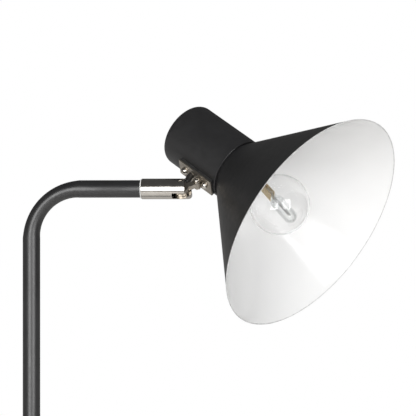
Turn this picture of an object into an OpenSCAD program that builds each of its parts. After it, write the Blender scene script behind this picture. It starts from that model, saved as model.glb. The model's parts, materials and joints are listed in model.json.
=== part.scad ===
// Adjustable arm floor lamp: weighted round base, sectional pole bent over into a short arm,
// swivel barrel, double knuckle and a cone shade on a cylindrical lampholder housing.
// Origin: centre of the base's underside. +Z up, the arm runs along +X. Millimetres.

/* [Base] */
// Radius of the round base cover
base_r = 140; // [120:5:170]
// Height of the base cover
base_h = 21; // [21:1:26]
// Thickness of the pad under the base
pad_t = 2; // [2:0.5:3]

/* [Pole and arm] */
// Outer radius of the pole and arm tube
tube_r = 8; // [8:0.5:10]
// Wall thickness of the tube
tube_wall = 1; // [0.8:0.1:1.2]
// Height of the arm's centreline above the floor
arm_z = 1370; // [1150:10:1500]
// Centreline radius of the bend between pole and arm
bend_r = 45; // [35:1:60]
// Horizontal reach of the arm tube from the pole's axis
arm_end = 101.8; // [90:0.1:140]

/* [Barrel and knuckle] */
// Outer radius of the swivel barrel
barrel_r = 9.4; // [9:0.1:10]
// Swivel angle of the barrel about the arm, from shade down
swivel = 41; // [0:1:90]
// Angle of the knuckle link above the arm's line
link_tilt = 25.6; // [-10:0.1:70]
// Angle of the head beyond the knuckle link
head_tilt = 22.4; // [-30:0.1:30]
// Distance between the two knuckle pivots
link_len = 15.3; // [15:0.1:18]

/* [Head] */
// Outer radius of the lampholder housing
housing_r = 30.2; // [29:0.1:32]
// Length of the housing behind the pivot line
housing_back = 52.7; // [50:0.1:60]
// Outer radius of the shade's mouth
mouth_r = 106.2; // [95:0.1:115]
// Distance of the shade's mouth from the pivot line
mouth_z = 114.5; // [108:0.5:125]
// Radius of the bulb's round glass
bulb_r = 27.5; // [25:0.5:30]

/* [Hidden] */
$fn = 96;

black = "#2c2c2d";
nickel = "#c9c4ba";
zinc = "#a8a9a6";
brass = "#b39a62";
rubber = "#1b1b1b";
plastic = "#202022";

// Fits: slip between parts of one body, running between parts that turn
slip = 0.02;
running = 0.05;

// Base
cover_t = 1;
cover_edge_r = 5;
cover_skirt_z = 1;
weight_r = base_r - 15;
weight_top = base_h - cover_t;
web_z = weight_top - 3;
pocket_r = 18;
lead_r = 3;
lead_z = 6.4;
lead_turn_r = 7;
channel_w = 7.2;
nipple_r = 5;
nipple_bore = 3.6;
nipple_z = [12, 48];
gland_x = [-base_r - 2.4, -base_r + 4];
gland_bore = 3.2;
gland_neck_r = 4;
gland_flange_r = 5;

// Pole
bore_r = tube_r - tube_wall;
insert_r = bore_r - slip;
lower_top = 470;
middle_top = 920;
bend_z = arm_z - bend_r;
stud_len = 12;
stud_root = 20;
socket_len = 22;
insert_len = 24;

// Barrel and knuckle
spigot_r = 6;
spigot_end = arm_end + 14.8;
spigot_bore = 3.4;
groove_r = 4.9;
groove_x = arm_end + 7.1;
groove_w = 2.6;
stop_half_angle = 7;
stop_screw_r = 1.5;
washer_t = 0.7;
barrel_x = arm_end + washer_t + 0.1;
pivot_x = 139;
cheek_r = 9;
short_cheek_x = pivot_x + 3.6;
cavity_r = 6.6;
slot_w = 7;
slot_x = pivot_x - 7.8;
cable_slot_x = slot_x - 8;
pin_r = 2.5;
tongue_r = 6.6;
tongue_flat = 3.6;
tongue_w = 6.4;
neck_h = 5.4;
eye_r = 3.2;
eye_w = 5;
ear_pin_r = 2;
ear_w = 1.8;
ear_gap = 0.3;

// Head: local frame with +Z out of the shade's mouth and the bracket on the -X side
pin_to_axis = 36.2;
pin_forward = 2.2;
housing_front = 19;
housing_wall = 1;
housing_edge_r = 7;
gasket_x = -housing_r - 1;
plate_t = 1.4;
plate_x = gasket_x - plate_t;
plate_z = [-25.2, 16.8];
plate_half_w = 9;
screw_z = [-17.5, 9.1];
screw_r = 2;
screw_head_r = 3.3;
screw_head_h = 2.2;
cable_hole_z = -9;
cable_hole_r = 3.9;
strap_x = -28.2;
strap_t = 2;
leg_z = -26;
strap_half_w = 6;
holder_end = 33;
holder_r = 19.5;
holder_seam_z = -8;
holder_seam_r = 17.5;
holder_bore = 14.6;
flange_r = 23;
flange_z = [14.8, 17.8];
collar_r = 28.7;
collar_z = [17.8, 19.5];
shade_t = 1;
ring_z = [18.8, 24.5];
bulb_z = 75;
contact_z = 5.5;
holder_back = leg_z + strap_t;
turn_back_z = -34;
sheath_end = -24.6;
wire_r = 1.05;
wire_y = 1.2;
wire_x = -22.6;

// Route of the cable across the knuckle, in the plane of the arm and the tilt [along, up]
cable_route = [
    [149.2, 19.3], [146.9, 16.8], [145.5, 15.25], [144.9, 13.9], [144.6, 12.4], [144.1, 10.9],
    [143.2, 9.6], [142, 8.7], [140.4, 8.15], [138.4, 7.9], [135.4, 7.3], [131.4, 6],
    [127.4, 4.3], [123.6, 2.5], [120.4, 1.1], [118.6, 0.4], [spigot_end + slip, 0.4]];
cable_sides = 12;

function arc(cx, cy, r, a0, a1, n) =
    [for (i = [0:n]) [cx + r * cos(a0 + (a1 - a0) * i / n), cy + r * sin(a0 + (a1 - a0) * i / n)]];

// ---- placing ----

module at_arm() { translate([0, 0, arm_z]) children(); }

module at_barrel() { at_arm() rotate([-swivel, 0, 0]) children(); }

module at_link() { at_barrel() translate([pivot_x, 0, 0]) rotate([0, -link_tilt, 0]) children(); }

module at_head() {
    at_link() translate([link_len, 0, 0]) rotate([0, -head_tilt, 0])
        translate([pin_to_axis, 0, pin_forward]) rotate([180, 0, 0]) children();
}

// ---- shared shapes ----

module tube(outer, inner, z0, z1) {
    translate([0, 0, z0]) difference() {
        cylinder(r = outer, h = z1 - z0);
        translate([0, 0, -1]) cylinder(r = inner, h = z1 - z0 + 2);
    }
}

module x_cylinder(r, x0, x1) { translate([x0, 0, 0]) rotate([0, 90, 0]) cylinder(r = r, h = x1 - x0); }

module y_cylinder(r, y0, y1) { translate([0, y0, 0]) rotate([-90, 0, 0]) cylinder(r = r, h = y1 - y0); }

// Part of a torus in the XZ plane from angle a0 through angle turn
module bend_xz(radius, a0, turn) {
    rotate([90, 0, 0]) rotate([0, 0, a0]) rotate_extrude(angle = turn) translate([radius, 0]) children();
}

module hex_nut(z0, h, across, bore) {
    translate([0, 0, z0]) difference() {
        cylinder(r = across / sqrt(3), h = h, $fn = 6);
        translate([0, 0, -1]) cylinder(r = bore, h = h + 2);
    }
}

// Domed cross-recess screw head standing on z = 0
module pan_head(r, h) {
    difference() {
        intersection() {
            translate([0, 0, h - r * 1.6]) sphere(r = r * 1.6);
            cylinder(r = r, h = h);
        }
        for (turn = [0, 90])
            rotate([0, 0, turn]) translate([-r * 0.6, -0.4, h * 0.55]) cube([r * 1.2, 0.8, h]);
    }
}

// ---- base ----

module base_pad() { color(rubber) cylinder(r = weight_r, h = pad_t); }

module base_weight() {
    color("#4a4a48") difference() {
        union() {
            translate([0, 0, pad_t]) cylinder(r = weight_r, h = weight_top - pad_t - 2);
            translate([0, 0, weight_top - 2]) cylinder(r1 = weight_r, r2 = weight_r - 2, h = 2);
        }
        cylinder(r = pocket_r, h = web_z);
        cylinder(r = nipple_r + 0.3, h = base_h);
        translate([-base_r, -channel_w / 2, 0]) cube([base_r, channel_w, lead_z + lead_r + 0.6]);
    }
}

module base_cover() {
    profile = concat(
        [[nipple_r + 0.3, base_h]],
        arc(base_r - cover_edge_r, base_h - cover_edge_r, cover_edge_r, 90, 0, 10),
        [[base_r, cover_skirt_z], [base_r - cover_t, cover_skirt_z]],
        arc(base_r - cover_edge_r, base_h - cover_edge_r, cover_edge_r - cover_t, 0, 90, 10),
        [[nipple_r + 0.3, base_h - cover_t]]);
    color(black) difference() {
        rotate_extrude() polygon(profile);
        translate([0, 0, lead_z]) x_cylinder(gland_neck_r + slip, -base_r - 5, -base_r + 5);
    }
}

module cord_gland() {
    color(plastic) translate([0, 0, lead_z]) difference() {
        union() {
            x_cylinder(gland_flange_r, gland_x[0], -base_r - 0.2);
            x_cylinder(gland_neck_r, -base_r - 0.2, -base_r + 1.3);
            x_cylinder(gland_flange_r, -base_r + 1.3, gland_x[1]);
        }
        x_cylinder(gland_bore, gland_x[0] - 1, gland_x[1] + 1);
    }
}

module base_washer() { color(zinc) tube(11, nipple_r + 0.3, web_z - 1, web_z); }

module base_nut() { color(zinc) hex_nut(web_z - 4.6, 3.6, 17, nipple_r + slip); }

module base_nipple() { color(zinc) tube(nipple_r, nipple_bore, nipple_z[0], nipple_z[1]); }

// ---- pole ----

module foot_insert() { color(zinc) tube(insert_r, nipple_r + slip, base_h, nipple_z[1] + 2); }

module joint_stud(z) {
    color(zinc) difference() {
        union() {
            translate([0, 0, z - stud_root]) cylinder(r = insert_r, h = stud_root);
            translate([0, 0, z]) cylinder(r = nipple_r, h = stud_len);
        }
        translate([0, 0, z - stud_root - 1]) cylinder(r = nipple_bore, h = stud_root + stud_len + 2);
    }
}

module joint_socket(z) {
    color(zinc) difference() {
        translate([0, 0, z]) cylinder(r = insert_r, h = socket_len);
        translate([0, 0, z - 1]) cylinder(r = nipple_r + slip, h = stud_len + 2);
        translate([0, 0, z - 1]) cylinder(r = nipple_bore, h = socket_len + 2);
    }
}

module lower_pole() { color(black) tube(tube_r, bore_r, base_h, lower_top); }

module middle_pole() { color(black) tube(tube_r, bore_r, lower_top, middle_top); }

module upper_arm() {
    color(black) difference() {
        union() {
            translate([0, 0, middle_top]) cylinder(r = tube_r, h = bend_z - middle_top);
            translate([bend_r, 0, bend_z]) bend_xz(bend_r, 90, 90) circle(r = tube_r);
            at_arm() x_cylinder(tube_r, bend_r, arm_end);
        }
        translate([0, 0, middle_top - 1]) cylinder(r = bore_r, h = bend_z - middle_top + 1);
        translate([bend_r, 0, bend_z]) bend_xz(bend_r, 90, 90) circle(r = bore_r);
        at_arm() x_cylinder(bore_r, bend_r, arm_end + 1);
    }
}

module arm_insert() {
    color(nickel) at_arm() difference() {
        union() {
            x_cylinder(insert_r, arm_end - insert_len, arm_end);
            x_cylinder(spigot_r, arm_end, spigot_end);
        }
        x_cylinder(spigot_bore, arm_end - insert_len - 1, spigot_end + 1);
        difference() {
            translate([groove_x - groove_w / 2, 0, 0]) rotate([0, 90, 0])
                tube(spigot_r + 1, groove_r, 0, groove_w);
            rotate([90 - stop_half_angle, 0, 0]) translate([groove_x - 5, 0, 0]) stop_wedge();
        }
    }
}

// Wedge about the -Y side that leaves the stop rib standing in the spigot's groove
module stop_wedge() {
    rotate([0, 90, 0]) linear_extrude(10)
        polygon([[0, 0], [-12, 0], [-12 * cos(2 * stop_half_angle), -12 * sin(2 * stop_half_angle)]]);
}

module inner_lead() {
    color(plastic) {
        translate([0, 0, lead_z]) x_cylinder(lead_r, -weight_r + 5, -lead_turn_r);
        translate([-lead_turn_r, 0, lead_z + lead_turn_r]) bend_xz(lead_turn_r, -90, 90) circle(r = lead_r);
        translate([0, 0, lead_z + lead_turn_r]) cylinder(r = lead_r, h = bend_z - lead_z - lead_turn_r);
        translate([bend_r, 0, bend_z]) bend_xz(bend_r, 90, 90) circle(r = lead_r);
        at_arm() x_cylinder(lead_r, bend_r, spigot_end);
    }
}

// ---- barrel and knuckle ----

module swivel_washer() {
    color("#e8e8e4") at_arm() rotate([0, 90, 0])
        tube(barrel_r - 0.5, spigot_r + slip, arm_end, arm_end + washer_t);
}

module swivel_barrel() {
    end = pivot_x + cheek_r + 1;
    profile = [
        [barrel_x, 0], [barrel_x, barrel_r - 0.5], [barrel_x + 0.5, barrel_r], [end, barrel_r], [end, 0]];
    color(nickel) at_barrel() difference() {
        intersection() {
            rotate([0, 90, 0]) rotate_extrude() polygon([for (p = profile) [p[1], p[0]]]);
            rotate([90, 0, 0]) linear_extrude(30, center = true) union() {
                translate([barrel_x - 1, -12]) square([pivot_x - barrel_x + 1, 24]);
                translate([pivot_x, 0]) circle(r = cheek_r);
            }
        }
        x_cylinder(spigot_r + running, barrel_x - 1, spigot_end + 0.4);
        x_cylinder(cavity_r, spigot_end + 0.3, slot_x);
        translate([slot_x - 0.1, -slot_w / 2, -12]) cube([30, slot_w, 24]);
        translate([cable_slot_x, -slot_w / 2, 0]) cube([slot_x - cable_slot_x, slot_w, 12]);
        translate([short_cheek_x, -12, -12]) cube([12, 12 - slot_w / 2, 24]);
        translate([pivot_x, 0, 0]) y_cylinder(pin_r + slip, -12, 12);
        translate([groove_x, 0, 0]) y_cylinder(stop_screw_r + slip, 0, 12);
    }
}

module swivel_stop_screw() {
    color(zinc) at_barrel() translate([groove_x, 0, 0]) difference() {
        union() {
            y_cylinder(1.1, groove_r + 0.2, spigot_r + 0.3);
            y_cylinder(stop_screw_r, spigot_r + 0.2, barrel_r - 0.2);
        }
        y_cylinder(0.75, barrel_r - 1.7, barrel_r, $fn = 6);
    }
}

module knuckle_pin() {
    color(nickel) at_barrel() translate([pivot_x, 0, 0]) y_cylinder(pin_r, -barrel_r + 0.8, barrel_r - 0.8);
}

module knuckle_link() {
    color(nickel) at_link() difference() {
        union() {
            intersection() {
                y_cylinder(tongue_r, -tongue_w / 2, tongue_w / 2);
                translate([-tongue_r, -5, -tongue_r]) cube([2 * tongue_r, 10, tongue_r + tongue_flat]);
            }
            translate([0, -eye_w / 2, -neck_h / 2]) cube([link_len, eye_w, neck_h]);
            translate([link_len, 0, 0]) y_cylinder(eye_r, -eye_w / 2, eye_w / 2);
        }
        y_cylinder(pin_r + running, -5, 5);
        translate([link_len, 0, 0]) y_cylinder(ear_pin_r + running, -5, 5);
    }
}

// Round tube swept along a route in the barrel's XZ plane
module swept_cable(route, r, sides) {
    last = len(route) - 1;
    heading = [for (i = [0:last]) route[min(i + 1, last)] - route[max(i - 1, 0)]];
    rings = [for (i = [0:last]) for (k = [0:sides - 1])
        let (side = [-heading[i][1], heading[i][0]] / norm(heading[i]), turn = 360 * k / sides)
            [route[i][0] + r * cos(turn) * side[0], r * sin(turn), route[i][1] + r * cos(turn) * side[1]]];
    walls = [for (i = [0:last - 1]) for (k = [0:sides - 1])
        [i * sides + k, i * sides + (k + 1) % sides, (i + 1) * sides + (k + 1) % sides, (i + 1) * sides + k]];
    polyhedron(points = rings, faces = concat(walls, [
        [for (k = [0:sides - 1]) sides - 1 - k],
        [for (k = [0:sides - 1]) last * sides + k]]));
}

module joint_cable() { color(rubber) at_barrel() swept_cable(cable_route, lead_r, cable_sides); }

// ---- head bracket ----

module plate_holes(r_screw, r_cable) {
    for (z = screw_z) translate([0, 0, z]) x_cylinder(r_screw, -40, -20);
    translate([0, 0, cable_hole_z]) x_cylinder(r_cable, -40, -20);
}

module head_bracket() {
    ear_y = eye_w / 2 + ear_gap;
    color(nickel) at_head() difference() {
        union() {
            translate([plate_x, -plate_half_w, plate_z[0]])
                cube([plate_t, 2 * plate_half_w, plate_z[1] - plate_z[0]]);
            for (y = [ear_y, -ear_y - ear_w]) translate([0, y, 0]) {
                translate([-pin_to_axis, 0, pin_forward]) y_cylinder(eye_r, 0, ear_w);
                translate([-pin_to_axis, 0, pin_forward - eye_r])
                    cube([pin_to_axis + plate_x, ear_w, 2 * eye_r]);
            }
        }
        plate_holes(screw_r + 0.1, cable_hole_r);
        translate([-pin_to_axis, 0, pin_forward]) y_cylinder(ear_pin_r + slip, -8, 8);
    }
}

module head_screw() {
    face = eye_w / 2 + ear_gap + ear_w;
    color(nickel) at_head() translate([-pin_to_axis, 0, pin_forward]) union() {
        y_cylinder(ear_pin_r, -face - 3.2, face + 0.05);
        translate([0, face, 0]) rotate([-90, 0, 0]) pan_head(3, 2.2);
    }
}

module head_nut() {
    face = eye_w / 2 + ear_gap + ear_w;
    color(nickel) at_head() translate([-pin_to_axis, 0, pin_forward]) rotate([90, 0, 0]) rotate([0, 0, 30])
        hex_nut(face, 2.4, 6, ear_pin_r + slip);
}

module bracket_gasket() {
    color(rubber) at_head() difference() {
        translate([gasket_x, -plate_half_w + 0.2, plate_z[0] + 0.2])
            cube([3.5, 2 * plate_half_w - 0.4, plate_z[1] - plate_z[0] - 0.4]);
        translate([0, 0, -60]) cylinder(r = housing_r + slip, h = 120);
        plate_holes(screw_r + 0.1, cable_hole_r);
    }
}

module bracket_screws() {
    color(nickel) at_head() for (z = screw_z) translate([0, 0, z]) {
        x_cylinder(screw_r, plate_x, strap_x + strap_t + 1.5);
        translate([plate_x, 0, 0]) rotate([0, -90, 0]) pan_head(screw_head_r, screw_head_h);
    }
}

module cable_collar() {
    color(nickel) at_head() translate([0, 0, cable_hole_z]) difference() {
        union() {
            x_cylinder(4.5, plate_x - 2, plate_x);
            x_cylinder(cable_hole_r - slip, plate_x - 0.1, gasket_x);
        }
        x_cylinder(lead_r + 0.2, plate_x - 3, gasket_x + 1);
    }
}

// ---- housing and lampholder ----

module housing() {
    back = -housing_back;
    inner_r = housing_r - housing_wall;
    profile = concat(
        [[0, back]],
        arc(housing_r - housing_edge_r, back + housing_edge_r, housing_edge_r, -90, 0, 12),
        [[housing_r, housing_front], [inner_r, housing_front]],
        arc(housing_r - housing_edge_r, back + housing_edge_r, housing_edge_r - housing_wall, 0, -90, 12),
        [[0, back + housing_wall]]);
    color(black) at_head() difference() {
        rotate_extrude() polygon(profile);
        plate_holes(screw_r + 0.1, lead_r + 0.4);
    }
}

module inner_strap() {
    color(zinc) at_head() difference() {
        union() {
            translate([strap_x, -strap_half_w, leg_z]) cube([strap_t, 2 * strap_half_w, plate_z[1] - leg_z - 5]);
            translate([strap_x, -strap_half_w, leg_z]) cube([12 - strap_x, 2 * strap_half_w, strap_t]);
        }
        plate_holes(screw_r + slip, lead_r + 0.4);
        translate([0, 0, leg_z - 1]) cylinder(r = nipple_r + slip, h = strap_t + 2);
        translate([wire_x, 0, leg_z - 1]) cylinder(r = wire_y + wire_r + 0.3, h = strap_t + 2);
    }
}

// End of the lead's jacket inside the housing, and its two wires round into the lampholder
module holder_lead() {
    turn = wire_x - sheath_end;
    half_gap = -wire_x / 2;
    color(plastic) at_head() {
        translate([0, 0, cable_hole_z]) x_cylinder(lead_r - 0.1, -29, sheath_end);
        for (y = [-wire_y, wire_y]) translate([0, y, 0]) {
            translate([0, 0, cable_hole_z]) x_cylinder(wire_r, sheath_end - 1, sheath_end);
            translate([sheath_end, 0, cable_hole_z - turn]) bend_xz(turn, 0, 90) circle(r = wire_r);
            translate([wire_x, 0, turn_back_z]) cylinder(r = wire_r, h = cable_hole_z - turn - turn_back_z);
            translate([-half_gap, 0, turn_back_z]) bend_xz(half_gap, 180, 180) circle(r = wire_r);
            translate([0, 0, turn_back_z]) cylinder(r = wire_r, h = holder_back + 4 - turn_back_z);
        }
    }
}

module holder_nipple() { color(zinc) at_head() tube(nipple_r, lead_r + 0.2, leg_z - 5, holder_back + 6); }

module holder_nut() { color(zinc) at_head() hex_nut(leg_z - 3.6, 3.6, 14, nipple_r + slip); }

module lampholder_cap() {
    profile = concat(
        [[nipple_r + slip, holder_back]],
        arc(14.5, holder_back + 5, 5, -90, 0, 8),
        [[holder_r, holder_seam_z], [holder_seam_r, holder_seam_z], [holder_seam_r, holder_back + 6],
         [nipple_r + slip, holder_back + 6]]);
    color(plastic) at_head() rotate_extrude() polygon(profile);
}

module lampholder_body() {
    profile = [
        [0, 1], [17, 1], [17, holder_seam_z], [holder_seam_r, holder_seam_z],
        [holder_seam_r, holder_seam_z + 0.1], [holder_r + 1, holder_seam_z + 0.1],
        [holder_r + 1, flange_z[0]], [flange_r, flange_z[0]], [flange_r, flange_z[1]],
        [holder_r, flange_z[1]], [holder_r, holder_end], [holder_bore, holder_end],
        [holder_bore, 4], [0, 4]];
    color(plastic) at_head() rotate_extrude() polygon(profile);
}

module lampholder_shell() { color(brass) at_head() tube(holder_bore - 0.3, holder_bore - 0.8, 9, holder_end - 2); }

module lampholder_contact() {
    color(brass) at_head() translate([0, 0, 4]) {
        translate([-5, -2, 0]) cube([10, 4, 0.6]);
        translate([0, 0, 0.5]) cylinder(r = 2.5, h = 0.9);
    }
}

module shade_ring() {
    color(plastic) at_head() difference() {
        rotate_extrude() polygon([
            [holder_r + slip, ring_z[0]], [25, ring_z[0]], [25, 20.5], [23.5, ring_z[1]],
            [holder_r + slip, ring_z[1]]]);
        for (i = [0:11])
            rotate([0, 0, i * 30]) translate([26, 0, 18]) cylinder(r = 1.5, h = 8);
    }
}

// ---- shade ----

module shade() {
    slope = (mouth_r - collar_r) / (mouth_z - collar_z[1]);
    inset = shade_t * sqrt(1 + slope * slope);
    profile = [
        [holder_r + 0.3, collar_z[0]], [collar_r, collar_z[0]], [collar_r, collar_z[1]],
        [mouth_r, mouth_z], [mouth_r - inset + 0.2, mouth_z],
        [collar_r - inset + slope * 0.2, collar_z[1]], [collar_r - inset, collar_z[0] + shade_t],
        [holder_r + 0.3, collar_z[0] + shade_t]];
    color(black) at_head() rotate_extrude() polygon(profile);
}

// ---- bulb ----

module bulb_cap() {
    thread_r = 13.1;
    thread_depth = 0.4;
    pitch = 3.6;
    thread = [for (i = [0:20])
        [thread_r - thread_depth / 2 * (1 - cos(i * 90)), 11 + i * pitch / 4]];
    color(nickel) at_head() rotate_extrude() polygon(concat(
        [[0, contact_z], [4, contact_z], [4.5, contact_z + 1], [10, contact_z + 3.5], [12.4, 10.4]],
        thread,
        [[thread_r, 31], [12.8, 32.5], [12.4, 32.5], [12.4, 12], [9.6, 10], [0, 10]]));
}

module bulb_glass() {
    wall = 0.7;
    neck_r = 12.3;
    neck_z = 31;
    blend = [for (i = [0:8]) [
        neck_r + (bulb_r * sin(50) - neck_r) * pow(i / 8, 1.5),
        neck_z + 2 + (bulb_z - bulb_r * cos(50) - neck_z - 2) * i / 8]];
    outer = concat([[neck_r, neck_z]], blend, arc(0, bulb_z, bulb_r, -38, 90, 26));
    inner = [for (p = outer) [max(p[0] - wall, 0), min(p[1], bulb_z + bulb_r - wall)]];
    color("#dfe8ea", 0.35) at_head() rotate_extrude() difference() {
        polygon(concat([[0, neck_z]], outer));
        polygon(concat([[0, neck_z - 1], [neck_r - wall, neck_z - 1]], inner));
    }
}

module bulb_stem() {
    color("#dfe8ea", 0.5) at_head() rotate_extrude()
        polygon([[0, 31.5], [9, 31.5], [4.5, 36.5], [3.2, 39], [3, 41], [0, 41]]);
}

module bulb_wires() {
    color(zinc) at_head() for (y = [-1.8, 1.8]) translate([0, y, 41]) cylinder(r = 0.4, h = 5.1);
}

module bulb_clip() {
    color(brass) at_head() difference() {
        union() {
            for (x = [-2.3, 1.7]) translate([x, -5.5, 46.2]) cube([0.6, 11, 14]);
            translate([-2.3, -5.5, 46.2]) cube([4.6, 11, 0.6]);
        }
        translate([0, 2.5, 57.5]) x_cylinder(1.3, -4, 4);
    }
}

module bulb_capsule() {
    r = 6.2;
    top = 93;
    color("#e6eeee", 0.5) at_head() union() {
        translate([-1.6, -4.5, 50]) cube([3.2, 9, 15]);
        rotate_extrude() polygon(concat(
            [[0, 62]], arc(0, 68, 6, -50, 0, 6), [[r, 72]], arc(0, top - 8, r, 0, 55, 6),
            [[1.5, top - 1.5], [0, top]]));
    }
}

base_pad();
base_weight();
base_cover();
cord_gland();
base_washer();
base_nut();
base_nipple();
foot_insert();
lower_pole();
joint_stud(lower_top);  // lower_joint_stud
joint_socket(lower_top);  // lower_joint_socket
middle_pole();
joint_stud(middle_top);  // upper_joint_stud
joint_socket(middle_top);  // upper_joint_socket
upper_arm();
arm_insert();
inner_lead();
swivel_washer();
swivel_barrel();
swivel_stop_screw();
knuckle_pin();
knuckle_link();
joint_cable();
head_bracket();
head_screw();
head_nut();
bracket_gasket();
bracket_screws();
cable_collar();
housing();
inner_strap();
holder_lead();
holder_nipple();
holder_nut();
lampholder_cap();
lampholder_body();
lampholder_shell();
lampholder_contact();
shade_ring();
shade();
bulb_cap();
bulb_glass();
bulb_stem();
bulb_wires();
bulb_clip();
bulb_capsule();
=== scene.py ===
"""Adjustable arm floor lamp: finishes, detail pieces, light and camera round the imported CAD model."""
import json
import math

import bmesh
import bpy
from mathutils import Matrix, Vector


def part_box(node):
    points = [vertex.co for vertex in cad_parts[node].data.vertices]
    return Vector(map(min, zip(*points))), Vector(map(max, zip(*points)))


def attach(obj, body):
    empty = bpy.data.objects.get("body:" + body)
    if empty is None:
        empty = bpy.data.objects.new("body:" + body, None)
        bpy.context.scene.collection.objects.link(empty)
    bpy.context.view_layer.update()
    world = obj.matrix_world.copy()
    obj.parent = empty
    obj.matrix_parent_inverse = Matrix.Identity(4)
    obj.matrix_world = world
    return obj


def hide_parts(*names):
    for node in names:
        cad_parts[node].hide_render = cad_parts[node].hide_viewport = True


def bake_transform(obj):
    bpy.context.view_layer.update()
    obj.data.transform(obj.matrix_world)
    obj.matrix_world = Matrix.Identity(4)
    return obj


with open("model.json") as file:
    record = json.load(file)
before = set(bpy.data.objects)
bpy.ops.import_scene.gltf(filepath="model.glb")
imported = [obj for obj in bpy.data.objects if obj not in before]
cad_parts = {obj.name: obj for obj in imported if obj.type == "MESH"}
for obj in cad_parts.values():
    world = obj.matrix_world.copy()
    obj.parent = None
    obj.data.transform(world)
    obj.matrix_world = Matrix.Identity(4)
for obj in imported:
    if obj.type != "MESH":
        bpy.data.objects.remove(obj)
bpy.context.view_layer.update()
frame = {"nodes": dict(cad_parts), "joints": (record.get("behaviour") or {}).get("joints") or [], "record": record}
nodes = frame["nodes"]
joints = {joint["name"]: joint for joint in frame["joints"]}
slot_of = {row["node"]: row["material_slot"] for row in frame["record"]["subparts"]}
body_of_node = {}
for body_name, members in frame["record"]["behaviour"]["bodies"].items():
    for node_name in members:
        body_of_node[node_name] = body_name

MM = 0.001


# ---- places, in metres, worked out from the frame ----

arm_low, arm_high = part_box("upper_arm")
TUBE_R = -arm_low.x
ARM_Z = arm_high.z - TUBE_R
ARM_END = arm_high.x
BEND_R = 45 * MM
BEND_Z = ARM_Z - BEND_R

pivot = Vector(joints["knuckle_tilt"]["pos_m"])
eye = Vector(joints["head_tilt"]["pos_m"])
tilt_axis = Vector(joints["knuckle_tilt"]["axis"]).normalized()
barrel_up = Vector((1, 0, 0)).cross(-tilt_axis).normalized()

# How far the head is turned from the link at rest, and where its pivot lies from the housing's axis
HEAD_TILT = math.radians(22.4)
PIN_TO_AXIS = 36.2 * MM
PIN_FORWARD = 2.2 * MM
head_x = Matrix.Rotation(HEAD_TILT, 3, tilt_axis) @ (eye - pivot).normalized()
head_z = head_x.cross(tilt_axis).normalized()


def placed(x_axis, y_axis, z_axis, origin):
    """Matrix of a local frame from its axes and origin."""
    rotation = Matrix((x_axis, y_axis, z_axis)).transposed().to_4x4()
    return Matrix.Translation(origin) @ rotation


HEAD = placed(head_x, tilt_axis, head_z, eye + head_x * PIN_TO_AXIS - head_z * PIN_FORWARD)
BARREL = placed(Vector((1, 0, 0)), -tilt_axis, barrel_up, Vector((0, 0, ARM_Z)))


def leaning(frame_matrix, height, degrees):
    """The same frame with its Z axis tipped towards the floor, about a point at height on that axis."""
    hinge = Matrix.Translation((0, 0, height * MM))
    down = frame_matrix.to_3x3().transposed() @ Vector((0, 0, -1))
    sideways = Vector((0, 0, 1)).cross(down).normalized()
    return frame_matrix @ hinge @ Matrix.Rotation(math.radians(degrees), 4, sideways) @ hinge.inverted()


# The bulb leans a little in its holder, and the capsule a little more inside the bulb.
# Heights and the rise are in millimetres along the head's axis, and the leans are in degrees.
CAP_HEIGHT = 25
BULB_LEAN = 4
GLOBE_HEIGHT = 75
CAPSULE_LEAN = 8
CAPSULE_RISE = 4
BULB = leaning(HEAD, CAP_HEIGHT, BULB_LEAN)
INSIDE = leaning(BULB, GLOBE_HEIGHT, CAPSULE_LEAN) @ Matrix.Translation((0, 0, CAPSULE_RISE * MM))


# ---- materials ----

def new_material(name, colour, metallic=0.0, roughness=0.5, **sockets):
    """A Principled material, its node tree and its shader, with plain values set on the shader."""
    material = bpy.data.materials.new(name)
    material.use_nodes = True
    tree = material.node_tree
    shader = tree.nodes["Principled BSDF"]
    shader.inputs["Base Color"].default_value = (*colour, 1)
    shader.inputs["Metallic"].default_value = metallic
    shader.inputs["Roughness"].default_value = roughness
    for socket, value in sockets.items():
        shader.inputs[socket.replace("_", " ")].default_value = value
    return material, tree, shader


def object_coords(tree, scale=(1, 1, 1)):
    """Object coordinates in metres, stretched by scale."""
    coords = tree.nodes.new("ShaderNodeTexCoord")
    mapping = tree.nodes.new("ShaderNodeMapping")
    mapping.inputs["Scale"].default_value = scale
    tree.links.new(coords.outputs["Object"], mapping.inputs["Vector"])
    return mapping.outputs["Vector"]


def noise(tree, scale, detail=3.0, stretch=(1, 1, 1)):
    """Noise from 0 to 1, with scale cells in a metre."""
    texture = tree.nodes.new("ShaderNodeTexNoise")
    texture.inputs["Scale"].default_value = scale
    texture.inputs["Detail"].default_value = detail
    tree.links.new(object_coords(tree, stretch), texture.inputs["Vector"])
    return texture.outputs["Fac"]


def between(tree, value, low, high, start=0.3, end=0.7):
    """value mapped from start..end to low..high."""
    mapped = tree.nodes.new("ShaderNodeMapRange")
    mapped.inputs["From Min"].default_value = start
    mapped.inputs["From Max"].default_value = end
    mapped.inputs["To Min"].default_value = low
    mapped.inputs["To Max"].default_value = high
    tree.links.new(value, mapped.inputs["Value"])
    return mapped.outputs["Result"]


def blend_colours(tree, value, first, second, start=0.3, end=0.7):
    """Colour that goes from first to second as value goes from start to end."""
    ramp = tree.nodes.new("ShaderNodeValToRGB")
    ramp.color_ramp.elements[0].position = start
    ramp.color_ramp.elements[0].color = (*first, 1)
    ramp.color_ramp.elements[1].position = end
    ramp.color_ramp.elements[1].color = (*second, 1)
    tree.links.new(value, ramp.inputs["Fac"])
    return ramp.outputs["Color"]


def vary_colour(tree, shader, value, first, second, start=0.3, end=0.7):
    """Base colour that goes from first to second with value."""
    tree.links.new(blend_colours(tree, value, first, second, start, end), shader.inputs["Base Color"])


def vary_roughness(tree, shader, value, low, high):
    """Roughness that goes from low to high with value."""
    tree.links.new(between(tree, value, low, high), shader.inputs["Roughness"])


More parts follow.
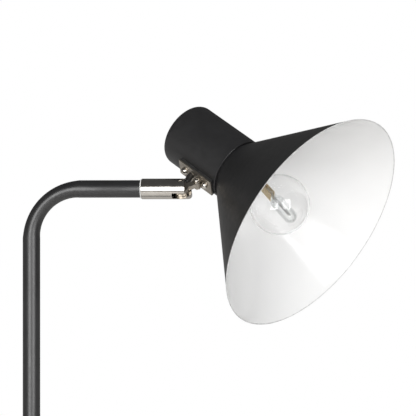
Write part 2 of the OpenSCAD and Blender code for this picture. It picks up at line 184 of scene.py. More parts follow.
def add_bump(tree, shader, heights, distance):
    """Bump from one or more (height, strength) pairs, one after another."""
    normal = None
    for height, strength in heights:
        bump = tree.nodes.new("ShaderNodeBump")
        bump.inputs["Strength"].default_value = strength
        bump.inputs["Distance"].default_value = distance
        tree.links.new(height, bump.inputs["Height"])
        if normal is not None:
            tree.links.new(normal, bump.inputs["Normal"])
        normal = bump.outputs["Normal"]
    tree.links.new(normal, shader.inputs["Normal"])


def powder_coat():
    """Black semi-matt powder coat: fine grain over a slight orange peel."""
    material, tree, shader = new_material(
        "black_powder_coat", (0.016, 0.016, 0.017), roughness=0.36, Specular_IOR_Level=0.88)
    cloud = noise(tree, 40, 4)
    vary_colour(tree, shader, cloud, (0.014, 0.014, 0.0145), (0.019, 0.019, 0.020))
    vary_roughness(tree, shader, noise(tree, 160, 3), 0.33, 0.40)
    add_bump(tree, shader, [(noise(tree, 650, 2), 0.10), (noise(tree, 2600, 2), 0.10)], 0.15 * MM)
    return material


def white_enamel():
    """White lining of the shade: even semi-gloss enamel."""
    material, tree, shader = new_material(
        "white_enamel", (0.84, 0.84, 0.84), roughness=0.13, Specular_IOR_Level=0.36)
    vary_colour(tree, shader, noise(tree, 25, 2), (0.84, 0.84, 0.84), (0.855, 0.855, 0.852))
    vary_roughness(tree, shader, noise(tree, 60, 2), 0.11, 0.15)
    add_bump(tree, shader, [(noise(tree, 1200, 2), 0.03)], 0.05 * MM)
    return material


def rim_edge():
    """Cut edge of the shade, where the white lining wraps over the black coat."""
    material, tree, shader = new_material("rim_edge", (0.6, 0.6, 0.6), roughness=0.45)
    vary_colour(tree, shader, noise(tree, 600, 3), (0.50, 0.50, 0.50), (0.72, 0.72, 0.72), 0.35, 0.65)
    add_bump(tree, shader, [(noise(tree, 900, 2), 0.2)], 0.1 * MM)
    return material


def nickel():
    """Polished nickel plate with faint polishing marks and a little dulling."""
    material, tree, shader = new_material("nickel_plate", (0.70, 0.665, 0.615), metallic=1.0, roughness=0.14)
    smear = noise(tree, 90, 5)
    vary_colour(tree, shader, smear, (0.64, 0.60, 0.55), (0.74, 0.71, 0.66))
    vary_roughness(tree, shader, noise(tree, 260, 4), 0.09, 0.20)
    marks = noise(tree, 900, 2, (0.12, 1, 1))
    add_bump(tree, shader, [(marks, 0.06), (noise(tree, 1500, 3), 0.04)], 0.08 * MM)
    return material


def brushed_nickel():
    """Nickel on cast and stamped pieces: satin, with a grain and dull patches."""
    material, tree, shader = new_material("nickel_satin", (0.62, 0.58, 0.52), metallic=1.0, roughness=0.26)
    patches = noise(tree, 240, 5)
    vary_colour(tree, shader, patches, (0.46, 0.415, 0.355), (0.56, 0.52, 0.46))
    vary_roughness(tree, shader, noise(tree, 420, 4), 0.32, 0.44)
    add_bump(tree, shader, [(noise(tree, 1400, 3), 0.10), (noise(tree, 500, 2), 0.05)], 0.08 * MM)
    return material


def zinc():
    """Bright zinc plate with soft spangle."""
    material, tree, shader = new_material("zinc_plate", (0.56, 0.57, 0.58), metallic=1.0, roughness=0.34)
    spangle = tree.nodes.new("ShaderNodeTexVoronoi")
    spangle.inputs["Scale"].default_value = 320
    tree.links.new(object_coords(tree), spangle.inputs["Vector"])
    vary_colour(tree, shader, spangle.outputs["Distance"], (0.62, 0.63, 0.64), (0.48, 0.49, 0.50), 0.1, 0.8)
    vary_roughness(tree, shader, noise(tree, 300, 3), 0.26, 0.42)
    add_bump(tree, shader, [(noise(tree, 1300, 2), 0.12)], 0.1 * MM)
    return material


def brass():
    """Rolled brass, a little tarnished, with fine lines across."""
    bright = (0.66, 0.52, 0.30)
    dull = (0.47, 0.36, 0.19)
    material, tree, shader = new_material("brass_metal", bright, metallic=1.0, roughness=0.3)
    vary_colour(tree, shader, noise(tree, 500, 4), dull, bright)
    vary_roughness(tree, shader, noise(tree, 700, 3), 0.24, 0.40)
    add_bump(tree, shader, [(noise(tree, 1800, 2, (1, 1, 0.1)), 0.25)], 0.08 * MM)
    return material


def cap_metal():
    """Aluminium screw cap of the bulb."""
    material, tree, shader = new_material("cap_metal", (0.76, 0.75, 0.72), metallic=1.0, roughness=0.26)
    vary_colour(tree, shader, noise(tree, 200, 4), (0.66, 0.65, 0.62), (0.80, 0.79, 0.77))
    vary_roughness(tree, shader, noise(tree, 420, 3), 0.2, 0.34)
    add_bump(tree, shader, [(noise(tree, 900, 3), 0.1)], 0.1 * MM)
    return material


def rubber():
    """Dark rubber or felt-like foam pad with a dusty grain."""
    material, tree, shader = new_material("pad_rubber", (0.02, 0.02, 0.02), roughness=0.8)
    vary_colour(tree, shader, noise(tree, 120, 5), (0.014, 0.014, 0.014), (0.032, 0.031, 0.030))
    vary_roughness(tree, shader, noise(tree, 400, 3), 0.7, 0.92)
    add_bump(tree, shader, [(noise(tree, 1500, 4), 0.5)], 0.2 * MM)
    return material


def moulded_plastic():
    """Black moulded phenolic: satin with a fine texture."""
    material, tree, shader = new_material("black_plastic", (0.018, 0.018, 0.018), roughness=0.34)
    vary_colour(tree, shader, noise(tree, 90, 4), (0.014, 0.014, 0.014), (0.024, 0.023, 0.023))
    vary_roughness(tree, shader, noise(tree, 500, 3), 0.28, 0.44)
    add_bump(tree, shader, [(noise(tree, 1400, 3), 0.15)], 0.12 * MM)
    return material


def white_nylon():
    """Natural nylon washer: milky and slightly waxy."""
    material, tree, shader = new_material("white_nylon", (0.82, 0.82, 0.80), roughness=0.42)
    vary_colour(tree, shader, noise(tree, 300, 3), (0.79, 0.79, 0.77), (0.85, 0.85, 0.84))
    vary_roughness(tree, shader, noise(tree, 500, 3), 0.36, 0.50)
    add_bump(tree, shader, [(noise(tree, 900, 3), 0.12)], 0.1 * MM)
    return material


def cable_sheath():
    """Black flexible cord jacket with a slightly greasy sheen and a fine grain."""
    material, tree, shader = new_material("cable_sheath", (0.022, 0.020, 0.018), roughness=0.42)
    vary_colour(tree, shader, noise(tree, 200, 4), (0.016, 0.0145, 0.013), (0.032, 0.029, 0.026))
    vary_roughness(tree, shader, noise(tree, 350, 3), 0.34, 0.52)
    add_bump(tree, shader, [(noise(tree, 800, 3), 0.22)], 0.15 * MM)
    return material


def cast_iron():
    """Rough grey casting of the base weight."""
    material, tree, shader = new_material("weight_iron", (0.09, 0.088, 0.085), metallic=0.7, roughness=0.7)
    vary_colour(tree, shader, noise(tree, 70, 6), (0.055, 0.052, 0.05), (0.13, 0.125, 0.12))
    vary_roughness(tree, shader, noise(tree, 200, 4), 0.55, 0.85)
    add_bump(tree, shader, [(noise(tree, 500, 5), 0.5)], 0.4 * MM)
    return material


def clear_glass():
    """Clear glass with a trace of waviness, which lets the light through to what is behind it."""
    material, tree, shader = new_material(
        "bulb_glass", (1, 1, 1), roughness=0.0, Transmission_Weight=1.0, IOR=1.47)
    add_bump(tree, shader, [(noise(tree, 60, 1), 0.02)], 0.3 * MM)
    shadow = tree.nodes.new("ShaderNodeLightPath")
    clear = tree.nodes.new("ShaderNodeBsdfTransparent")
    mixed = tree.nodes.new("ShaderNodeMixShader")
    output = tree.nodes["Material Output"]
    tree.links.new(shadow.outputs["Is Shadow Ray"], mixed.inputs["Fac"])
    tree.links.new(shader.outputs["BSDF"], mixed.inputs[1])
    tree.links.new(clear.outputs["BSDF"], mixed.inputs[2])
    tree.links.new(mixed.outputs["Shader"], output.inputs["Surface"])
    return material


def thin_quartz():
    """Thin clear quartz seen through, with painted shade that darkens its see-through colour towards the edges,
    and sharp highlights.
    """
    material, tree, shader = new_material("quartz", (1, 1, 1), roughness=0.04, Specular_IOR_Level=0.8)
    edge = tree.nodes.new("ShaderNodeLayerWeight")
    edge.inputs["Blend"].default_value = 0.35
    clear = tree.nodes.new("ShaderNodeBsdfTransparent")
    # Painted shade: the see-through colour darkens where the surface turns edge-on, standing in for the dark
    # outline that bent light gives real quartz.
    tree.links.new(
        blend_colours(tree, edge.outputs["Facing"], (0.985, 0.99, 0.99), (0.70, 0.72, 0.72), 0.65, 1.0),
        clear.inputs["Color"])
    gloss = tree.nodes.new("ShaderNodeBsdfGlossy")
    tree.links.new(between(tree, noise(tree, 200, 3), 0.03, 0.10), gloss.inputs["Roughness"])
    bump = tree.nodes.new("ShaderNodeBump")
    bump.inputs["Strength"].default_value = 0.25
    bump.inputs["Distance"].default_value = 0.2 * MM
    tree.links.new(noise(tree, 260, 2), bump.inputs["Height"])
    tree.links.new(bump.outputs["Normal"], gloss.inputs["Normal"])
    mixed = tree.nodes.new("ShaderNodeMixShader")
    tree.links.new(between(tree, edge.outputs["Fresnel"], 0.015, 0.30, 0.0, 1.0), mixed.inputs["Fac"])
    tree.links.new(clear.outputs["BSDF"], mixed.inputs[1])
    tree.links.new(gloss.outputs["BSDF"], mixed.inputs[2])
    tree.links.new(mixed.outputs["Shader"], tree.nodes["Material Output"].inputs["Surface"])
    tree.nodes.remove(shader)
    return material


def tungsten():
    """Dull grey wire of the filament and its leads."""
    material, tree, shader = new_material("tungsten_wire", (0.30, 0.29, 0.28), metallic=1.0, roughness=0.4)
    vary_colour(tree, shader, noise(tree, 900, 3), (0.22, 0.21, 0.20), (0.38, 0.37, 0.36))
    add_bump(tree, shader, [(noise(tree, 4000, 2), 0.2)], 0.05 * MM)
    return material


def pale_floor():
    """Plain pale floor with a barely visible grain."""
    material, tree, shader = new_material("pale_floor", (0.70, 0.69, 0.675), roughness=0.75)
    vary_colour(tree, shader, noise(tree, 4, 4), (0.69, 0.68, 0.665), (0.71, 0.70, 0.685))
    add_bump(tree, shader, [(noise(tree, 300, 3), 0.03)], 0.3 * MM)
    return material


BLACK = powder_coat()
WHITE = white_enamel()
RIM = rim_edge()
NICKEL = nickel()
SATIN = brushed_nickel()
GLASS = clear_glass()
QUARTZ = thin_quartz()
TUNGSTEN = tungsten()
CABLE = cable_sheath()
BRASS = brass()
finishes = {
    "black_coat": BLACK,
    "nickel_plate": NICKEL,
    "zinc_steel": zinc(),
    "weight_iron": cast_iron(),
    "pad_rubber": rubber(),
    "black_plastic": moulded_plastic(),
    "white_nylon": white_nylon(),
    "cable_jacket": CABLE,
    "brass_metal": BRASS,
    "bulb_cap_metal": cap_metal(),
    "bulb_glass": GLASS,
}


def coat(obj, *materials):
    """Gives obj these materials, in the order of its faces' material numbers."""
    for number, material in enumerate(materials):
        if number < len(obj.data.materials):
            obj.data.materials[number] = material
        else:
            obj.data.materials.append(material)


for node_name, node in nodes.items():
    coat(node, finishes[slot_of[node_name]])


# ---- making pieces ----

def in_scene(name, data):
    """A new object for this mesh, light or camera, linked to the scene."""
    obj = bpy.data.objects.new(name, data)
    bpy.context.scene.collection.objects.link(obj)
    return obj


def linked(name, mesh, node_name):
    """A new piece that rides with node_name's body, and hides that node in its place."""
    obj = in_scene(name, mesh)
    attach(obj, body_of_node[node_name])
    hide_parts(node_name)
    return obj


def smooth(mesh, angle=35):
    """Smooth shading with edges sharper than angle, in degrees, left crisp."""
    mesh.shade_smooth()
    mesh.set_sharp_from_angle(angle=math.radians(angle))


def mesh_from(shape, name):
    """The finished bmesh as a new mesh."""
    mesh = bpy.data.meshes.new(name)
    shape.to_mesh(mesh)
    shape.free()
    return mesh


def refined(name, node_name, material, bevel):
    """The node's own shape, welded and with its edges rounded by bevel, in metres."""
    weld_distance = 0.002 * MM
    flat_angle = math.radians(0.5)
    edge_angle = math.radians(35)
    mesh = nodes[node_name].data.copy()
    if "custom_normal" in mesh.attributes:
        mesh.attributes.remove(mesh.attributes["custom_normal"])
    shape = bmesh.new()
    shape.from_mesh(mesh)
    bmesh.ops.remove_doubles(shape, verts=shape.verts, dist=weld_distance)
    bmesh.ops.dissolve_limit(shape, angle_limit=flat_angle, verts=shape.verts, edges=shape.edges)
    shape.to_mesh(mesh)
    shape.free()
    smooth(mesh)
    obj = linked(name, mesh, node_name)
    rounding = obj.modifiers.new("rounding", "BEVEL")
    rounding.width = bevel
    rounding.segments = 2
    rounding.limit_method = "ANGLE"
    rounding.angle_limit = edge_angle
    rounding.harden_normals = True
    coat(obj, material)
    return obj


def lathe_mesh(name, outline, place, sides=96, closed=True):
    """Surface turned about local Z from (radius, height, material number) points, moved by place."""
    shape = bmesh.new()
    rings = []
    on_axis = 0.0001 * MM
    for radius, height, number in outline:
        if radius < on_axis:
            rings.append([shape.verts.new(place @ Vector((0, 0, height)))])
            continue
        ring = []
        for side in range(sides):
            turn = math.tau * side / sides
            point = Vector((radius * math.cos(turn), radius * math.sin(turn), height))
            ring.append(shape.verts.new(place @ point))
        rings.append(ring)
    last = len(rings) if closed else len(rings) - 1
    for index in range(last):
        here, after = rings[index], rings[(index + 1) % len(rings)]
        number = outline[index][2]
        if len(here) == 1 and len(after) == 1:
            continue
        for side in range(sides):
            beside = (side + 1) % sides
            corners = [here[side % len(here)], here[beside % len(here)],
                       after[beside % len(after)], after[side % len(after)]]
            face = shape.faces.new(list(dict.fromkeys(corners)))
            face.material_index = number
    bmesh.ops.recalc_face_normals(shape, faces=shape.faces)
    return mesh_from(shape, name)


def arc(centre_r, centre_z, radius, start, end, steps):
    """Outline points round an arc, angles in degrees from the radial direction."""
    points = []
    for step in range(steps + 1):
        angle = math.radians(start + (end - start) * step / steps)
        points.append((centre_r + radius * math.cos(angle), centre_z + radius * math.sin(angle)))
    return points


def in_metres(outline):
    """Outline of (radius, height) in millimetres, and a material number if not 0, in metres."""
    return [(radius * MM, height * MM, number[0] if number else 0) for radius, height, *number in outline]


def turned(name, node_name, outline, place, sides, crease, materials, closed=True):
    """A turned piece that stands for node_name, from an outline in millimetres."""
    mesh = lathe_mesh(name, in_metres(outline), place, sides, closed)
    smooth(mesh, crease)
    coat(linked(name, mesh, node_name), *materials)


def tube_mesh(name, path, section):
    """Closed tube along path: section(i) gives the ring of points for path point i."""
    shape = bmesh.new()
    rings = [[shape.verts.new(point) for point in section(index)] for index in range(len(path))]
    for here, after in zip(rings, rings[1:]):
        for side in range(len(here)):
            beside = (side + 1) % len(here)
            shape.faces.new([here[side], here[beside], after[beside], after[side]])
    shape.faces.new(rings[0][::-1])
    shape.faces.new(rings[-1])
    bmesh.ops.recalc_face_normals(shape, faces=shape.faces)
    return mesh_from(shape, name)


def wire_mesh(name, path, radius, sides=12):
    """Round wire along path, with its rings carried along so that the wire isn't twisted."""
    headings = []
    for index in range(len(path)):
        ahead = path[min(index + 1, len(path) - 1)]
        behind = path[max(index - 1, 0)]
        headings.append((ahead - behind).normalized())
    across = headings[0].orthogonal().normalized()
    across_at = []
    for heading in headings:
        across = (across - heading * across.dot(heading)).normalized()
        across_at.append(across.copy())

    def section(index):
        across = across_at[index]
        other = headings[index].cross(across)
        points = []
        for side in range(sides):
            turn = math.tau * side / sides
            points.append(path[index] + (across * math.cos(turn) + other * math.sin(turn)) * radius)
        return points

    return tube_mesh(name, path, section)


def smooth_path(points, steps):
    """Catmull-Rom curve through the points, with steps pieces between neighbours."""
    ends = [points[0] * 2 - points[1], *points, points[-1] * 2 - points[-2]]
    path = []
    for index in range(1, len(ends) - 2):
        before, start, end, after = ends[index - 1:index + 3]
        for step in range(steps):
            t = step / steps
            path.append(0.5 * (
                2 * start + (end - before) * t
                + (2 * before - 5 * start + 4 * end - after) * t * t
                + (3 * start - before - 3 * end + after) * t ** 3))
    path.append(points[-1])
    return path


def join_meshes(name, meshes):
    """One mesh from several of the same material."""
    shape = bmesh.new()
    for mesh in meshes:
        shape.from_mesh(mesh)
    return mesh_from(shape, name)


# ---- arm ----

def bent_arm():
    """Upper tube: straight, bent through a right angle with the slight flattening of a drawn bend."""
    start_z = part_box("upper_arm")[0].z
    end_round = 0.3 * MM
    end_back = 0.4 * MM
    straight = 120 * MM
    flattening = 0.13
    outer_share = 1.25
    inner_share = 0.75
    widening = 0.4
    bend_steps = 32
    sides = 64
    quarter = math.pi / 2
    path = [
        (Vector((0, 0, start_z)), 0.0),
        (Vector((0, 0, start_z + end_round)), 0.0),
        (Vector((0, 0, BEND_Z - straight)), 0.0),
    ]
    for step in range(bend_steps + 1):
        angle = quarter * step / bend_steps
        point = Vector((BEND_R * (1 - math.cos(angle)), 0, BEND_Z + BEND_R * math.sin(angle)))
        path.append((point, angle))
    path.append((Vector((ARM_END - end_back, 0, ARM_Z)), quarter))
    path.append((Vector((ARM_END, 0, ARM_Z)), quarter))

    def section(index):
        point, angle = path[index]
        at_end = index in (0, len(path) - 1)
        flat = flattening * math.sin(2 * angle) ** 0.7 if 0 < angle < quarter else 0.0
        outward = Vector((-math.cos(angle), 0, math.sin(angle)))
        radius = TUBE_R - (end_round if at_end else 0)
        ring = []
        for side in range(sides):
            turn = math.tau * side / sides
            out = math.cos(turn)
            pull = flat * (outer_share if out > 0 else inner_share)
            ring.append(point + outward * out * radius * (1 - pull)
                        + Vector((0, 1, 0)) * math.sin(turn) * radius * (1 + flat * widening))
        return ring

    mesh = tube_mesh("bent_tube", path, section)
    smooth(mesh, 40)
    coat(linked("bent_tube", mesh, "upper_arm"), BLACK)


bent_arm()


# ---- shade, housing ----

def cone_shade():
    """Spun steel cone: black outside, white inside, with the rolled-over cut edge at the mouth."""
    white, edge = 1, 2
    low, high = 17.8, 19.5
    collar_r, holder_r, wall = 28.7, 19.8, 1.0
    mouth_r, mouth_z = 106.2, 114.5
    slope = (mouth_r - collar_r) / (mouth_z - high)
    inset = wall * math.sqrt(1 + slope * slope)
    steps = 24
    outer = []
    for step in range(1, steps):
        outer.append((collar_r + (mouth_r - collar_r) * step / steps, high + (mouth_z - high) * step / steps))
    inner = [(radius - inset + 0.05, height, white) for radius, height in reversed(outer)]
    outline = [
        (holder_r, low), (collar_r, low), (collar_r, high), *outer,
        (mouth_r - 0.2, mouth_z - 0.35, edge), (mouth_r - 0.1, mouth_z - 0.1, edge),
        (mouth_r - 0.45, mouth_z, edge), (mouth_r - inset + 0.45, mouth_z, edge),
        (mouth_r - inset + 0.1, mouth_z - 0.25, white), *inner,
        (collar_r - inset + 0.4, high + 0.4, white), (collar_r - inset - 0.6, low + wall + 0.25, white),
        (collar_r - inset - 1.4, low + wall, white), (holder_r, low + wall, white),
    ]
    turned("cone_shade", "shade", outline, HEAD, 160, 30, (BLACK, WHITE, RIM))


def round_housing():
    """Drawn cup over the lampholder, with a soft edge at its closed end and a fine lip."""
    radius, wall, edge, back, front = 30.2, 1.0, 7.0, -52.7, 19.0
    edge_r, edge_z = radius - edge, back + edge
    outline = [
        (0, back), (12, back), (20, back), *arc(edge_r, edge_z, edge, -90, 0, 20),
        (radius, -20), (radius, 0), (radius, front - 0.3), (radius - 0.3, front),
        (radius - wall + 0.2, front), (radius - wall, front - 0.2), (radius - wall, 0),
        *arc(edge_r, edge_z, edge - wall, 0, -90, 12), (12, back + wall), (0, back + wall),
    ]
    turned("round_housing", "housing", outline, HEAD, 128, 30, (BLACK,), closed=False)


cone_shade()
round_housing()


# ---- bulb ----

def bulb_globe():
    """Clear glass of the bulb: a ball that runs into a narrow neck, with a wall of even thickness."""
    radius, wall = 27.5, 0.7
    neck_r, neck_z = 12.3, 31.0
    foot_angle, top_angle = -38, 89
    join_r = radius * math.cos(math.radians(foot_angle))
    join_z = GLOBE_HEIGHT + radius * math.sin(math.radians(foot_angle))
    neck = []
    steps = 10
    for step in range(steps):
        t = step / steps
        ease = t * t * (1.6 - 0.6 * t)
        neck.append((neck_r + (join_r - neck_r) * ease, neck_z + 2 + (join_z - neck_z - 2) * t))
    outer = [(neck_r, neck_z), *neck, *arc(0, GLOBE_HEIGHT, radius, foot_angle, top_angle, 40),
             (0, GLOBE_HEIGHT + radius)]
    inner = [(neck_r - wall, neck_z), *[(neck_x - wall, height) for neck_x, height in neck],
             *arc(0, GLOBE_HEIGHT, radius - wall, foot_angle, top_angle, 40),
             (0, GLOBE_HEIGHT + radius - wall)]
    turned("bulb_globe", "bulb_glass", outer + inner[::-1], BULB, 96, 60, (GLASS,))


def glass_stem():
    """Flared foot of the glass stem, which narrows to the pinch that the wires come out of."""
    outline = [(0, 31.5), (8.6, 31.5), (9, 32), (6.4, 34), (4.6, 36.4), (3.5, 38.5), (3.1, 40),
               (2.9, 40.7), (2.2, 41), (0, 41)]
    turned("glass_stem", "bulb_stem", outline, BULB, 48, 50, (GLASS,), closed=False)


def inside(x, y, z):
    """Point of the capsule's local frame, in millimetres, in the lamp's frame."""
    return INSIDE @ Vector((x * MM, y * MM, z * MM))


def quartz_capsule():
    """Tubular quartz envelope with a domed, nipped end, and its flat pinch seal."""
    radius, wall, shoulder, top = 6.2, 0.8, 66.0, 92.0
    dome_z = top - radius + 0.6
    outer = [(0, 62.5), (2.4, 62.6), (4.4, 63.4), (5.7, 64.6), (radius, shoulder),
             *arc(0, dome_z, radius, 0, 72, 12), (1.1, top + 0.2), (0.7, top + 0.9), (0, top + 1.0)]
    inner = [(0, 64.0), (3.4, 64.2), (4.8, 65.4), (radius - wall, shoulder + 1),
             *arc(0, dome_z, radius - wall, 0, 86, 12), (0, dome_z + radius - wall)]
    shell = lathe_mesh("quartz_shell", in_metres(outer + inner[::-1]), INSIDE, 48)
    smooth(shell, 60)
    half_x, half_y, low, high = 1.6, 4.5, 50.0, 63.2
    edge = 0.7 * MM
    pinch = bmesh.new()
    bmesh.ops.create_cube(pinch, size=1.0)
    for corner in pinch.verts:
        x = math.copysign(half_x, corner.co.x)
        y = math.copysign(half_y, corner.co.y)
        corner.co = inside(x, y, high if corner.co.z > 0 else low)
    bmesh.ops.bevel(pinch, geom=pinch.edges, offset=edge, segments=3, affect="EDGES")
    seal = mesh_from(pinch, "quartz_pinch")
    smooth(seal, 40)
    mesh = join_meshes("quartz_capsule", (shell, seal))
    coat(linked("quartz_capsule", mesh, "bulb_capsule"), QUARTZ)


def filament_mesh():
    """Coiled filament on its two inner leads."""
    coil_r, low, high, turns, per_turn = 0.75, 70.5, 84.5, 18, 10
    coil_wire, lead_wire = 0.16 * MM, 0.22 * MM
    coil = []
    for step in range(turns * per_turn + 1):
        turn = math.tau * step / per_turn
        height = low + (high - low) * step / (turns * per_turn)
        coil.append(inside(coil_r * math.cos(turn), coil_r * math.sin(turn), height))
    near = [inside(0, -1.8, 51), inside(0, -1.8, 64), inside(0.2, -1.9, 68), inside(0.7, -0.6, 70), coil[0]]
    far = [inside(0, 1.8, 51), inside(0, 1.9, 64), inside(0, 3.3, 67.5), inside(0, 3.5, 76),
           inside(0, 3.3, 85.2), inside(0.6, 1.4, 86), coil[-1]]
    return join_meshes("filament", (
        wire_mesh("coil", coil, coil_wire, 6),
        wire_mesh("near_lead", smooth_path(near, 5), lead_wire, 8),
        wire_mesh("far_lead", smooth_path(far, 5), lead_wire, 8)))


def filament():
    """The filament, which the plain capsule node leaves out."""
    mesh = filament_mesh()
    mesh.shade_smooth()
    obj = in_scene("filament", mesh)
    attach(obj, body_of_node["bulb_capsule"])
    coat(obj, TUNGSTEN)


def stem_leads():
    """Two stiff wires from the stem's pinch up to the clip's foot."""
    apart = 1.8
    wire_r = 0.4 * MM
    wires = []
    for side in (-apart, apart):
        foot = BULB @ Vector((0, side * 0.8 * MM, 40.2 * MM))
        bend = BULB @ Vector((0, side * MM, 42.5 * MM))
        path = [foot, bend, inside(0, side, 43.8), inside(0, side, 46.1)]
        wires.append(wire_mesh("stem_lead", smooth_path(path, 4), wire_r, 10))
    mesh = join_meshes("stem_leads", wires)
    mesh.shade_smooth()
    coat(linked("stem_leads", mesh, "bulb_wires"), TUNGSTEN)


def clip():
    """Folded brass clip that grips the capsule's pinch, with a hole in its broad side."""
    piece = refined("clip", "bulb_clip", BRASS, 0.08 * MM)
    piece.data.transform(INSIDE @ HEAD.inverted())


bulb_globe()
glass_stem()
quartz_capsule()
clip()
filament()
stem_leads()


# ---- metal and moulded pieces with rounded edges ----

for piece_name, node_name, material, bevel_mm in (
    ("barrel", "swivel_barrel", NICKEL, 0.25),
    ("link", "knuckle_link", SATIN, 0.4),
    ("link_pin", "knuckle_pin", NICKEL, 0.3),
    ("bracket", "head_bracket", SATIN, 0.22),
    ("gasket", "bracket_gasket", finishes["pad_rubber"], 0.25),
    ("stop_screw", "swivel_stop_screw", finishes["zinc_steel"], 0.1),
    ("spigot", "arm_insert", NICKEL, 0.15),
    ("gland", "cord_gland", finishes["black_plastic"], 0.4),
    ("pad", "base_pad", finishes["pad_rubber"], 0.5),
):
    refined(piece_name, node_name, material, bevel_mm * MM)


# ---- turned pieces of the bracket, with their places in millimetres ----

PLATE_X = -32.6
SCREW_HEIGHTS = (-17.5, 9.1)
CABLE_HEIGHT = -9
EAR_FACE = 4.6


def on_plate(height):
    """Frame on the face of the bracket's plate, with Z pointing away from the housing."""
    return HEAD @ Matrix.Translation((PLATE_X * MM, 0, height * MM)) @ Matrix.Rotation(-math.pi / 2, 4, "Y")


def bracket_screws():
    """Two high-domed screws that hold the bracket plate to the housing."""
    outline = [(0, -8), (1.9, -8), (2, -7.8), (2, -0.05), (3.3, -0.05), (3.5, 0.3),
               *arc(0, 0.4, 3.5, 4, 76, 14), (0.8, 3.6), (0.6, 3.0), (0, 2.9)]
    meshes = []
    for height in SCREW_HEIGHTS:
        meshes.append(lathe_mesh("screw", in_metres(outline), on_plate(height), 40, closed=False))
    mesh = join_meshes("bracket_screw_pair", meshes)
    smooth(mesh, 40)
    coat(linked("bracket_screw_pair", mesh, "bracket_screws"), NICKEL)


def cable_collar():
    """Low flanged bush round the cable where it goes through the plate."""
    outline = [(3.2, -1.3), (3.85, -1.3), (3.85, -0.02), (4.2, -0.02), (4.2, 0.15), (4.0, 0.3),
               (3.4, 0.3), (3.2, 0.1)]
    turned("collar", "cable_collar", outline, on_plate(CABLE_HEIGHT), 48, 40, (SATIN,))


def eye_screw_and_nut():
    """Cross screw through the ears and the link's eye, and the thin nut on its far end."""
    along_y = Matrix.Translation((-PIN_TO_AXIS, 0, PIN_FORWARD)) @ Matrix.Rotation(-math.pi / 2, 4, "X")
    screw = [(0, -EAR_FACE - 1.5), (1.8, -EAR_FACE - 1.5), (2, -EAR_FACE - 1.3), (2, EAR_FACE),
             (2.5, EAR_FACE), (2.7, EAR_FACE + 0.3), (2.5, EAR_FACE + 0.9), (1.8, EAR_FACE + 1.4),
             (0.8, EAR_FACE + 1.6), (0.7, EAR_FACE + 0.9), (0, EAR_FACE + 0.8)]
    turned("eye_screw", "head_screw", screw, HEAD @ along_y, 40, 40, (NICKEL,), closed=False)
    nut = [(2.02, -EAR_FACE), (3.0, -EAR_FACE), (3.2, -EAR_FACE - 0.2), (3.2, -EAR_FACE - 1.0),
           (3.0, -EAR_FACE - 1.2), (2.02, -EAR_FACE - 1.2)]
    mesh = lathe_mesh("eye_nut", in_metres(nut), HEAD @ along_y @ Matrix.Rotation(math.pi / 6, 4, "Z"), 6)
    coat(linked("eye_nut", mesh, "head_nut"), NICKEL)


bracket_screws()
cable_collar()
eye_screw_and_nut()


# ---- cable over the knuckle ----

def joint_cable():
    """Two lengths of cable: one runs from the barrel to the link, the other from the link to the head."""
    route = [(116.62, 0.4), (118.6, 0.4), (120.4, 1.1), (123.6, 2.5), (127.4, 4.3), (131.4, 6), (135.4, 7.3),
             (138.4, 7.9), (140.4, 8.15), (142, 8.7), (143.2, 9.6), (144.1, 10.9), (144.6, 12.4),
             (144.9, 13.9), (145.5, 15.25), (146.9, 16.8), (149.2, 19.3)]
    split = 9
    points = [BARREL @ Vector((along * MM, 0, up * MM)) for along, up in route]
    radius = 3 * MM
    for name, part, bodies in (
        ("cable_rear", points[:split + 1], ("barrel", "link")),
        ("cable_front", points[split:], ("link", "head")),
    ):
        mesh = wire_mesh(name, smooth_path(part, 5), radius, 24)
        smooth(mesh, 50)
        obj = in_scene(name, mesh)
        coat(obj, CABLE)
        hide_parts("joint_cable")
        if bodies[0] == "barrel":
            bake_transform(obj)
        else:
            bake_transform(obj)


joint_cable()


# ---- light, floor and camera ----

# Places in metres, lens and sensor in millimetres
HEAD_SPOT = Vector((0.24, -0.02, 1.37))
CAMERA_DROP = 17.42 * MM
CAMERA_PLACE = Vector((0.39854, -1.8938, ARM_Z - CAMERA_DROP))
CAMERA_YAW = math.radians(7.079)
LENS = 181.73
SENSOR_WIDTH = 36


def add_camera():
    """Long lens at arm height, level, turned a little to the left."""
    data = bpy.data.cameras.new("camera")
    data.lens = LENS
    data.sensor_width = SENSOR_WIDTH
    camera = in_scene("camera", data)
    camera.location = CAMERA_PLACE
    camera.rotation_euler = (math.pi / 2, 0, CAMERA_YAW)
    bpy.context.scene.camera = camera


def softbox(name, azimuth, elevation, distance, width, height, radiance, mirrored=True):
    """Area light aimed at the head. Azimuth goes to the right from the camera's side of the lamp."""
    turn = CAMERA_YAW + math.radians(azimuth)
    rise = math.radians(elevation)
    outward = Vector((math.sin(turn) * math.cos(rise), -math.cos(turn) * math.cos(rise), math.sin(rise)))
    data = bpy.data.lights.new(name, "AREA")
    data.shape = "RECTANGLE"
    data.size = width
    data.size_y = height
    data.energy = radiance * math.pi * width * height
    light = in_scene(name, data)
    light.location = HEAD_SPOT + outward * distance
    light.rotation_euler = outward.to_track_quat("Z", "Y").to_euler()
    light.visible_camera = False
    light.visible_glossy = mirrored


def add_floor():
    """Round pale floor, small enough to end out of the level camera's sight."""
    radius, rings = 7.0, 24
    outline = [(radius * ring / rings, 0.0, 0) for ring in range(rings + 1)]
    mesh = lathe_mesh("floor", outline, Matrix.Identity(4), closed=False)
    floor = in_scene("floor", mesh)
    coat(floor, pale_floor())


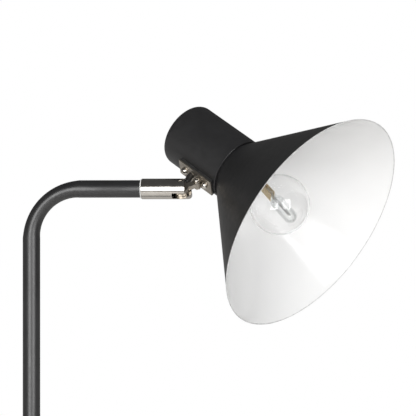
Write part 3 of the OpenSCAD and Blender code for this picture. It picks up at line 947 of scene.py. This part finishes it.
def add_world():
    """White backdrop for the camera, even fill for matt surfaces, and a dim room for reflections."""
    backdrop_colour = (1, 1, 1, 1)
    fill_colour = (0.36, 0.36, 0.36, 1)
    straight_down = (0.62, 0.60, 0.57, 1)
    straight_up = (0.07, 0.07, 0.07, 1)
    level_at = ((0.42, 0.45), (0.50, 0.22), (0.66, 0.08))
    world = bpy.data.worlds.new("studio")
    world.use_nodes = True
    bpy.context.scene.world = world
    tree = world.node_tree
    room = tree.nodes["Background"]
    coords = tree.nodes.new("ShaderNodeTexCoord")
    split = tree.nodes.new("ShaderNodeSeparateXYZ")
    tree.links.new(coords.outputs["Generated"], split.inputs["Vector"])
    height = tree.nodes.new("ShaderNodeMapRange")
    height.inputs["From Min"].default_value = -1
    tree.links.new(split.outputs["Z"], height.inputs["Value"])
    ramp = tree.nodes.new("ShaderNodeValToRGB")
    ramp.color_ramp.elements[0].position = 0.0
    ramp.color_ramp.elements[0].color = straight_down
    ramp.color_ramp.elements[1].position = 1.0
    ramp.color_ramp.elements[1].color = straight_up
    for position, level in level_at:
        element = ramp.color_ramp.elements.new(position)
        element.color = (level, level * 0.985, level * 0.97, 1)
    tree.links.new(height.outputs["Result"], ramp.inputs["Fac"])
    tree.links.new(ramp.outputs["Color"], room.inputs["Color"])
    backdrop = tree.nodes.new("ShaderNodeBackground")
    backdrop.inputs["Color"].default_value = backdrop_colour
    seen = tree.nodes.new("ShaderNodeLightPath")
    fill = tree.nodes.new("ShaderNodeBackground")
    fill.inputs["Color"].default_value = fill_colour
    matt = tree.nodes.new("ShaderNodeMixShader")
    tree.links.new(seen.outputs["Is Diffuse Ray"], matt.inputs["Fac"])
    tree.links.new(room.outputs["Background"], matt.inputs[1])
    tree.links.new(fill.outputs["Background"], matt.inputs[2])
    mixed = tree.nodes.new("ShaderNodeMixShader")
    tree.links.new(seen.outputs["Is Camera Ray"], mixed.inputs["Fac"])
    tree.links.new(matt.outputs["Shader"], mixed.inputs[1])
    tree.links.new(backdrop.outputs["Background"], mixed.inputs[2])
    tree.links.new(mixed.outputs["Shader"], tree.nodes["World Output"].inputs["Surface"])


add_camera()
add_floor()
add_world()
softbox("left_box", azimuth=-24, elevation=0.5, distance=2.3, width=1.25, height=1.5, radiance=5.0)
softbox("right_box", azimuth=20.5, elevation=0.5, distance=2.3, width=0.88, height=1.5, radiance=4.0)
softbox("right_strip", azimuth=36, elevation=0.5, distance=2.3, width=0.24, height=1.5, radiance=9.0)
softbox("ceiling_fill", azimuth=180, elevation=68, distance=3.0, width=5.0, height=5.0, radiance=0.7,
        mirrored=False)
bpy.context.scene.view_settings.view_transform = "Standard"
bpy.context.scene.view_settings.look = "None"
